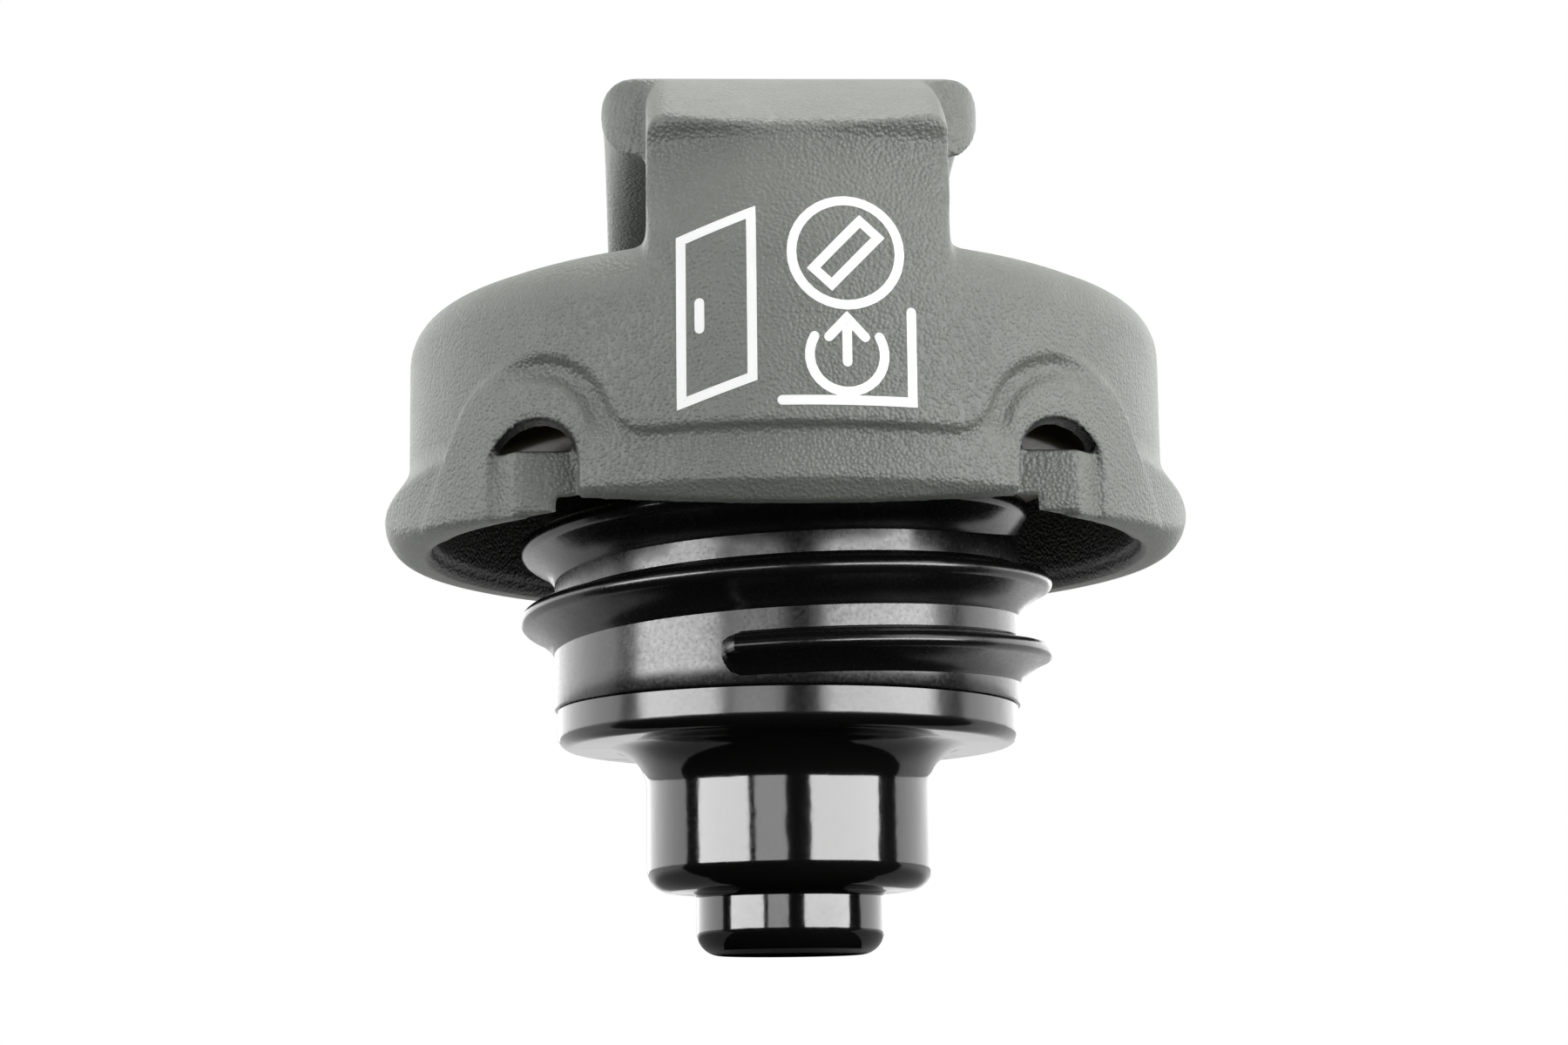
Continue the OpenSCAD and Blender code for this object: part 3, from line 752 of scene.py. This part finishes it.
@dataclass
class CoverShell:
    """The grained handle cover: the construction's cover with a moulding's soft edges.

    Args:
        voxel: Size of the remesh's cells, in millimetres.
        dome_top: Height of the dome's crown.
        dome_r: Radius of the dome.
        foot_side: Fade of the handle's foot rounding, across.
        crest_lift: How far the front end of the handle's crown is raised.
        crest_rise: Fade of that, from the back to the front.
        crest_foot: Fade of that, upwards.
        cove: Depth of the hollow under the front edge of the handle.
        cove_y: The hollow lies in front of this.
        cove_top: Fade of the hollow below the edge.
        cove_foot: Fade of the hollow above the dome.
        cove_side: Fade of the hollow, across.
        pad_x: Distance of the pads' arches from the middle.
        pad_z: Height of the arches' centres.
        ledge: Depth of the dished band along the arches.
        ledge_y: The band lies in front of this.
        ledge_r: The band lies outside this radius.
        ledge_in: Fade of the band inside, by the distance from the arch's centre.
        ledge_out: Fade of the band outside.
        ledge_side: Fade of the band past the arch's middle, across.
        ledge_foot: Fade of the band at its lower end.
        most_faces: Triangles that the piece may have.

    A fade is a start and a run, as in fade().
    """

    voxel: float = 0.36
    dome_top: float = 41.8
    dome_r: float = 110.0
    foot_side: Point2 = (24.0, -4.0)
    crest_lift: float = 1.15
    crest_rise: Point2 = (-12.0, -20.0)
    crest_foot: Point2 = (38.0, 5.0)
    cove: float = 1.0
    cove_y: float = -27.0
    cove_top: Point2 = (46.0, -1.6)
    cove_foot: Point2 = (36.0, 7.0)
    cove_side: Point2 = (14.5, -2.0)
    pad_x: float = 22.7
    pad_z: float = 21.25
    ledge: float = 0.8
    ledge_y: float = -20.0
    ledge_r: float = 29.0
    ledge_in: Point2 = (4.6, 1.3)
    ledge_out: Point2 = (7.3, -0.5)
    ledge_side: Point2 = (26.2, -4.5)
    ledge_foot: Point2 = (20.0, 3.0)
    most_faces: int = 186000

    def group(self, obj: Piece, name: str, weight: Callable[[float, float, float], float]) -> str:
        """Makes a vertex group from a weight for each place, in millimetres.

        Args:
            obj: The piece.
            name: Name of the group.
            weight: Function of x, y and z.

        Returns:
            The group's name.
        """
        group = obj.vertex_groups.new(name=name)
        steps = 10
        levels: list[list[int]] = [[] for _ in range(steps + 1)]
        for vertex in obj.data.vertices:
            w = weight(vertex.co.x / MM, vertex.co.y / MM, vertex.co.z / MM)
            if w > 0.05:
                levels[round(min(w, 1.0) * steps)].append(vertex.index)
        for k, indices in enumerate(levels):
            if indices and k:
                group.add(indices, k / steps, "REPLACE")
        return name

    def dome_z(self, x: float, y: float) -> float:
        """Height of the dome over a point."""
        return self.dome_top - (x * x + y * y) / (2 * self.dome_r)

    def foot_weight(self, x: float, y: float, z: float) -> float:
        """How much of the broad rounding at the handle's foot a place gets."""
        off = z - self.dome_z(x, y) if z >= 33.0 else -math.inf
        return fade(off, -3.2, 1.2) * fade(off, 4.4, -1.6) * fade(abs(x), *self.foot_side)

    def edge_weight(self, x: float, y: float, z: float) -> float:
        """How much of the rounding along the front edge of the handle's crown a place gets."""
        return fade(z, 42.3, 1.5) * fade(y, -29.0, -3.0)

    def lift(self, y: float, z: float) -> float:
        """How far a place on the front end of the handle's crown is raised."""
        return self.crest_lift * fade(y, *self.crest_rise) * fade(z, *self.crest_foot)

    def hollow(self, x: float, y: float, z: float) -> float:
        """How deep a place on the wall under the crown's front end is hollowed."""
        depth = self.cove if y < self.cove_y else 0.0
        return depth * fade(z, *self.cove_top) * fade(z, *self.cove_foot) * fade(abs(x), *self.cove_side)

    def dish(self, x: float, y: float, z: float) -> float:
        """Finds how deep a place on the inner flank of a pad's arch is dished.

        Args:
            x: How far right of the middle plane it is.
            y: How far behind the axis.
            z: Its height.

        Returns:
            The depth.
        """
        if y >= self.ledge_y or math.hypot(x, y) <= self.ledge_r:
            return 0.0
        reach = math.hypot(abs(x) - self.pad_x, z - self.pad_z)
        band = self.ledge * fade(reach, *self.ledge_in) * fade(reach, *self.ledge_out)
        return band * fade(abs(x), *self.ledge_side) * fade(z, *self.ledge_foot)

    def reshape(self, obj: Piece) -> None:
        """Raises the front end of the crown, hollows the wall under it and dishes the pads.

        Args:
            obj: The piece.
        """
        for vertex in obj.data.vertices:
            x, y, z = (c / MM for c in vertex.co)
            vertex.co.z += self.lift(y, z) * MM
            vertex.co.y += self.hollow(x, y, z) * MM
            vertex.co.y += self.dish(x, y, z) * MM

    def build(self, material: Material) -> Piece:
        """Builds the cover.

        Args:
            material: Its finish.

        Returns:
            The piece.
        """
        obj = copy_node("handle_cover", "cover_shell")
        apply_modifier(obj, "REMESH", mode="VOXEL", voxel_size=self.voxel * MM)
        self.reshape(obj)
        apply_modifier(obj, "SMOOTH", factor=0.5, iterations=1)
        foot = self.group(obj, "foot", self.foot_weight)
        edge = self.group(obj, "edge", self.edge_weight)
        apply_modifier(obj, "SMOOTH", factor=0.5, iterations=34, vertex_group=foot)
        apply_modifier(obj, "SMOOTH", factor=0.5, iterations=6, vertex_group=edge)
        faces = sum(len(p.vertices) - 2 for p in obj.data.polygons)
        if faces > self.most_faces:
            apply_modifier(obj, "DECIMATE", ratio=self.most_faces / faces)
        obj.vertex_groups.clear()
        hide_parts("handle_cover")
        return finish_piece(obj, Body.COVER, material, 60.0)


@dataclass
class ThreadedClosure:
    """The threaded barrel with its flange.

    Args:
        barrel_r: Radius between the threads.
        crest: Height of the thread.
        bore_r: Radius inside.
        flange_r: Radius of the flange.
        seam_z: Height of the weld seam.
        flange_z: Height of the flange's underside.
        top_z: Height of the flange's top.
        pitch: Rise in a turn.
        turns: Number of turns.
        start_z: Height of the crest at its start.
        start_angle: Angle of the start, in degrees.
        per_turn: Steps in a turn of the thread.
        root: How far the thread's sides go into the barrel.
        start_steps: Steps in which the thread reaches its height.
        end_steps: Steps in which it runs out.
        low_foot: Share of its lower flank's width at the start.
    """

    barrel_r: float = 21.4
    crest: float = 3.1
    bore_r: float = 18.8
    flange_r: float = 30.0
    seam_z: float = -1.0
    flange_z: float = 22.9
    top_z: float = 24.9
    pitch: float = 6.5
    turns: float = 2.35
    start_z: float = 1.9
    start_angle: float = -108.0
    per_turn: int = 144
    root: float = 0.4
    start_steps: float = 1.6
    end_steps: float = 30.0
    low_foot: float = 0.72

    def barrel(self) -> Piece:
        """Lathes the barrel and the flange.

        Returns:
            The lathed piece.
        """
        r, b, f = self.barrel_r, self.bore_r, self.flange_r
        seam, low, top = self.seam_z, self.flange_z, self.top_z
        section = [
            (b, seam),
            (r - 0.25, seam),
            (r - 0.07, seam + 0.05),
            (r, seam + 0.22),
            *[(r, seam + 0.22 + (low - seam - 0.5) * i / 12) for i in range(1, 13)],
            *arc(r + 0.28, low - 0.28, 0.28, 180, 90, 3),
            (f - 0.4, low),
            *arc(f - 0.35, low + 0.35, 0.35, -90, 0, 4),
            *arc(f - 0.35, top - 0.35, 0.35, 0, 90, 4),
            (b, top),
        ]
        return lathe("closure_barrel", section, 240)

    def profile(self) -> list[Point2]:
        """Half section of the thread: distance from the barrel and height from the crest's middle."""
        points = [(-0.5, 2.0), (0.0, 1.62), (0.12, 1.42), (0.55, 1.24), (1.35, 1.06)]
        points += arc(self.crest - 0.85, 0.0, 0.85, 72, -72, 12)
        points += [(1.9, -1.12), (1.15, -1.62), (0.6, -2.1), (0.22, -2.62), (0.0, -3.05), (-0.5, -3.5)]
        return points

    def thread(self) -> Piece:
        """Sweeps the thread up the barrel, with a blunt start and a run-out.

        Returns:
            The thread.
        """
        outline = self.profile()
        count = round(self.turns * self.per_turn)
        bpy.ops.object.select_all(action="DESELECT")
        bpy.ops.mesh.primitive_grid_add(x_subdivisions=count, y_subdivisions=len(outline) - 1, size=1.0)
        obj = bpy.context.active_object
        obj.name = obj.data.name = "closure_thread"
        columns = count + 1
        for vertex in obj.data.vertices:
            row, i = divmod(vertex.index, columns)
            out, up = outline[row]
            t = i / self.per_turn
            start = step(i / self.start_steps)
            end = step((count - i) / self.end_steps)
            if out > -self.root:
                out = -self.root + (out + self.root) * (0.05 + 0.95 * start) * (0.12 + 0.88 * end)
            foot = min(1.0, self.low_foot + t * 0.6) if up < 0 else 1.0
            up *= foot * (0.8 + 0.2 * start)
            angle = math.radians(self.start_angle + 360.0 * t)
            z = self.start_z + self.pitch * t + up
            r = self.barrel_r + out
            vertex.co = (r * math.cos(angle) * MM, r * math.sin(angle) * MM, (z + LIFT) * MM)
        bpy.ops.object.mode_set(mode="EDIT")
        bpy.ops.mesh.select_all(action="DESELECT")
        bpy.ops.mesh.select_non_manifold(
            extend=False, use_wire=False, use_multi_face=False, use_non_contiguous=False, use_verts=False
        )
        bpy.ops.mesh.edge_face_add()
        bpy.ops.mesh.select_all(action="SELECT")
        bpy.ops.mesh.normals_make_consistent(inside=False)
        bpy.ops.object.mode_set(mode="OBJECT")
        return obj

    def build(self, material: Material) -> Piece:
        """Builds the closure.

        Args:
            material: Its finish.

        Returns:
            The joined piece.
        """
        barrel, thread = self.barrel(), self.thread()
        bpy.ops.object.select_all(action="DESELECT")
        thread.select_set(True)
        barrel.select_set(True)
        bpy.context.view_layer.objects.active = barrel
        bpy.ops.object.join()
        barrel.name = barrel.data.name = "threaded_closure"
        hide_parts("closure_body")
        return finish_piece(barrel, Body.CLOSURE, material, 34.0)


@dataclass
class ValveHousing:
    """The stepped housing under the barrel: pilot band, lower cylinder and tip.

    Args:
        band_r: Radius of the pilot band.
        cylinder_r: Radius of the lower cylinder.
        tip_r: Radius of the tip.
        tip_z: Height of the tip's underside.
        cylinder_z: Height of the lower cylinder's floor.
        shoulder_z: Height of the band's underside.
        seam_z: Height of the weld seam.
    """

    band_r: float = 21.1
    cylinder_r: float = 13.0
    tip_r: float = 8.55
    tip_z: float = -23.3
    cylinder_z: float = -17.6
    shoulder_z: float = -4.5
    seam_z: float = -1.0

    def build(self, material: Material) -> Piece:
        """Lathes the housing.

        Args:
            material: Its finish.

        Returns:
            The piece.
        """
        tip, low, wide = self.tip_r, self.cylinder_r, self.band_r
        foot, deck, brow, seam = self.tip_z, self.cylinder_z, self.shoulder_z, self.seam_z
        section = [
            (2.0, foot + 0.5),
            *arc(2.5, foot + 0.5, 0.5, 180, 270, 3),
            *arc(tip - 2.2, foot + 2.2, 2.2, -88, 0, 16),
            (tip, foot + 2.3),
            (tip, deck - 0.6),
            *arc(tip + 0.5, deck - 0.5, 0.5, 180, 90, 4),
            *arc(low - 2.2, deck + 2.2, 2.2, -88, 0, 16),
            (low, deck + 2.3),
            *[(low, deck + 2.2 + i * 1.2) for i in range(1, 6)],
            (low, brow - 3.8),
            *arc(low + 3.7, brow - 3.7, 3.7, 180, 92, 18),
            *arc(wide - 1.2, brow + 1.2, 1.2, -90, 0, 8),
            (wide, brow + 1.3),
            (wide, seam - 0.2),
            (wide, seam - 0.1),
            (wide - 0.1, seam),
            (18.7, seam),
            (18.7, seam + 1.6),
            (16.9, seam + 1.6),
            (16.9, brow + 1.8),
            (low - 1.8, brow + 1.8),
            (low - 1.8, deck + 1.8),
            (9.0, deck + 1.8),
            (9.0, deck + 2.8),
            (8.0, deck + 2.8),
            (8.0, deck + 1.8),
            (tip - 1.8, deck + 1.8),
            (tip - 1.8, foot + 2.8),
            (tip - 2.8, foot + 1.8),
            (2.0, foot + 1.8),
        ]
        obj = lathe("valve_housing_shell", section, 224)
        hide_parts("valve_housing")
        return finish_piece(obj, Body.CLOSURE, material, 34.0)


@dataclass
class NeckGasket:
    """The rubber ring under the flange.

    Args:
        inner_r: Radius of its bore.
        outer_r: Radius of its rim.
        low_z: Height of its lip.
        top_z: Height of the flange's underside.
    """

    inner_r: float = 21.48
    outer_r: float = 27.8
    low_z: float = 19.9
    top_z: float = 22.9

    def build(self, material: Material) -> Piece:
        """Lathes the gasket.

        Args:
            material: Its finish.

        Returns:
            The piece.
        """
        a, b, low, top = self.inner_r, self.outer_r, self.low_z, self.top_z
        section = [
            (a, low + 0.6),
            *arc(a + 0.55, low + 0.55, 0.55, 190, 270, 4),
            (a + 2.2, low),
            (a + 3.9, low + 0.06),
            (b - 1.2, low + 0.55),
            *arc(b - 1.1, low + 1.75, 1.1, -60, 0, 6),
            (b, top - 0.1),
            (b - 0.1, top),
            (a, top),
        ]
        obj = lathe("neck_gasket_ring", section, 192)
        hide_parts("neck_gasket")
        return finish_piece(obj, Body.CLOSURE, material, 40.0)


@dataclass
class Marking:
    """The white printed sign: an open door, a round cap with a bar, and an arrow up to it.

    Args:
        middle: Middle of the sign, across and up.
        width: Width of a printed line.
        clear: Height of the print above the cover.
        spacing: Distance between a line's points.
        strokes: Corners of each line, in millimetres about the middle.
    """

    middle: Point2 = (-0.5, 31.4)
    width: float = 0.8
    clear: float = 0.03
    spacing: float = 0.35
    strokes: list[list[Point2]] = field(default_factory=list)

    def __post_init__(self) -> None:
        """Draws the sign's lines."""
        hinge = [(-9.4, 5.2), (-3.6, 7.4), (-3.6, -6.6), (-9.4, -8.6), (-9.4, 5.2)]
        latch = [(-7.9, -0.2), (-7.9, -2.4)]
        neck = arc(4.2, -4.8, 3.1, 150, 390, 20)
        rim = arc(4.2, 3.9, 4.5, 0, 360, 36)
        bar = [(1.5, 2.5), (5.4, 6.6), (6.9, 5.2), (3.0, 1.1), (1.5, 2.5)]
        stem = [(4.2, -5.4), (4.2, -1.9)]
        head = [(2.7, -3.3), (4.2, -1.7), (5.7, -3.3)]
        sill = [(-1.2, -8.6), (9.6, -8.6), (9.6, -1.0)]
        self.strokes = [hinge, latch, neck, rim, bar, stem, head, sill]

    def resample(self, line: list[Point2]) -> list[Point2]:
        """Spaces a line's points evenly.

        Args:
            line: Corners of the line.

        Returns:
            Its points.
        """
        out = [line[0]]
        for a, b in zip(line, line[1:]):
            n = max(1, round(math.dist(a, b) / self.spacing))
            out += [(a[0] + (b[0] - a[0]) * k / n, a[1] + (b[1] - a[1]) * k / n) for k in range(1, n + 1)]
        return out

    def land(self, tree: BVHTree, x: float, z: float) -> Vector:
        """Finds the point of the print at a place of the sign.

        Args:
            tree: Search tree of the cover.
            x: How far right of the sign's middle.
            z: How far above it.

        Returns:
            The point, just proud of the cover.
        """
        start = Vector(((self.middle[0] + x) * MM, -0.08, (self.middle[1] + z) * MM))
        spot = tree.ray_cast(start, Vector((0, 1, 0)))[0]
        if spot is None:
            raise RuntimeError(f"the print misses the cover at {x:.1f}, {z:.1f}")
        return spot + Vector((0, -self.clear * MM, 0))

    def sides(self, line: list[Vector], closed: bool) -> list[tuple[Vector, float]]:
        """Finds the way across a line at each of its points.

        Args:
            line: Points of the line.
            closed: Whether its ends meet.

        Returns:
            For each point a unit step across, and how much longer it is where the line turns.
        """
        out = []
        for i, point in enumerate(line):
            before = line[i - 1] if closed or i else point
            after = line[(i + 1) % len(line)] if closed or i < len(line) - 1 else point
            ways = [way.normalized() for way in (point - before, after - point) if way.length > 1e-9]
            along = (ways[0] + ways[-1]).normalized()
            out.append((Vector((-along.y, along.x)), 1.0 / max(0.6, along.dot(ways[-1]))))
        return out

    def cap(self, end: Vector, other: Vector) -> list[Vector]:
        """Rounds the end of a line.

        Args:
            end: The line's last point.
            other: The point before it.

        Returns:
            The points of the round.
        """
        half = self.width / 2
        along = (end - other).normalized()
        side = Vector((-along.y, along.x))
        turns = [math.radians(a) for a in (30, 60, 90, 120, 150)]
        return [end + side * half * math.cos(a) + along * half * math.sin(a) for a in turns]

    def stroke(self, mesh: bmesh.types.BMesh, tree: BVHTree, corners: list[Point2]) -> None:
        """Prints one line.

        Args:
            mesh: Mesh that gets its faces.
            tree: Search tree of the cover.
            corners: Corners of the line.
        """
        line = [Vector(p) for p in self.resample(corners)]
        closed = (line[0] - line[-1]).length < 1e-6
        if closed:
            line = line[:-1]
        half = self.width / 2
        rows = (-half, -half * 0.5, 0.0, half * 0.5, half)
        strip = [
            [mesh.verts.new(self.land(tree, *(point + side * w * grow))) for w in rows]
            for point, (side, grow) in zip(line, self.sides(line, closed))
        ]
        ends = [] if closed else [(strip[0], line[0], line[1]), (strip[-1], line[-1], line[-2])]
        caps = [(row, [mesh.verts.new(self.land(tree, *p)) for p in self.cap(*tail)]) for row, *tail in ends]
        for a, b in zip(strip, strip[1:] + strip[:1] if closed else strip[1:]):
            for k in range(len(rows) - 1):
                mesh.faces.new((a[k], b[k], b[k + 1], a[k + 1]))
        for row, fan in caps:
            nearer = (fan[0].co - row[-1].co).length < (fan[0].co - row[0].co).length
            mesh.faces.new([*(row if nearer else row[::-1]), *fan])

    def build(self, cover: Piece, material: Material) -> Piece:
        """Prints the sign on the front of the cover.

        Args:
            cover: The cover.
            material: The print's finish.

        Returns:
            The piece.
        """
        tree = BVHTree.FromObject(cover, bpy.context.evaluated_depsgraph_get())
        mesh = bmesh.new()
        for corners in self.strokes:
            self.stroke(mesh, tree, corners)
        data = bpy.data.meshes.new("printed_sign")
        for face in mesh.faces:
            face.normal_update()
            if face.normal.y > 0:
                face.normal_flip()
        mesh.to_mesh(data)
        mesh.free()
        obj = bpy.data.objects.new("printed_sign", data)
        bpy.context.collection.objects.link(obj)
        return finish_piece(obj, Body.COVER, material, 60.0)


@dataclass
class InnerParts:
    """The construction nodes that keep their own mesh."""

    def build(self) -> None:
        """Gives each node its finish."""
        finishes = {
            "torque_plate": AMBER_NYLON,
            "inner_cover": BLACK_NYLON,
            "spring_retainer": NYLON,
            "pressure_plate": NYLON,
            "pressure_seal": BLACK_RUBBER,
            "vacuum_valve": NYLON,
            "vacuum_clip": STEEL,
        }
        for node, finish in finishes.items():
            dress(node, finish.make(f"{node}_finish"))
        log.info("inner parts dressed")


@dataclass
class CoilSpring:
    """A coil spring, copied from the construction's spring and carried on its body.

    Args:
        node: The construction's spring.
        body: Body that its fixed end sits on.
        joint: Joint of its valve; not used.
        travel: Longest travel of that joint, in millimetres; not used.
        fixed_low: Whether the fixed end is the lower one; not used.
    """

    node: str
    body: Body
    joint: str
    travel: float
    fixed_low: bool

    def build(self, material: Material) -> Piece:
        """Builds the spring.

        Args:
            material: Its finish.

        Returns:
            The piece.
        """
        obj = copy_node(self.node, f"{self.node}_coil")
        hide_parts(self.node)
        finish_piece(obj, self.body, material, 60.0)
        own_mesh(obj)
        return obj


def main() -> None:
    """Builds the whole picture."""
    logging.basicConfig(level=logging.INFO, format="%(message)s")
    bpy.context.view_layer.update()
    bpy.context.scene.view_settings.view_transform = "Standard"
    Studio().build()
    InnerParts().build()
    steel = STEEL.make("spring_wire")
    CoilSpring("pressure_spring", Body.CLOSURE, "pressure_lift", 2.0, False).build(steel)
    CoilSpring("vacuum_spring", Body.PRESSURE, "vacuum_drop", 1.4, True).build(steel)
    ValveHousing().build(GlossPlastic(rough=0.1, satin_above=-1.6).make("housing_gloss"))
    ThreadedClosure().build(GlossPlastic(rough=0.23).make("closure_gloss"))
    NeckGasket().build(BROWN_RUBBER.make("gasket_rubber"))
    cover = CoverShell().build(MouldedPlastic().make("cover_grain"))
    Marking().build(cover, INK.make("print_ink"))


if __name__ == "__main__":
    main()
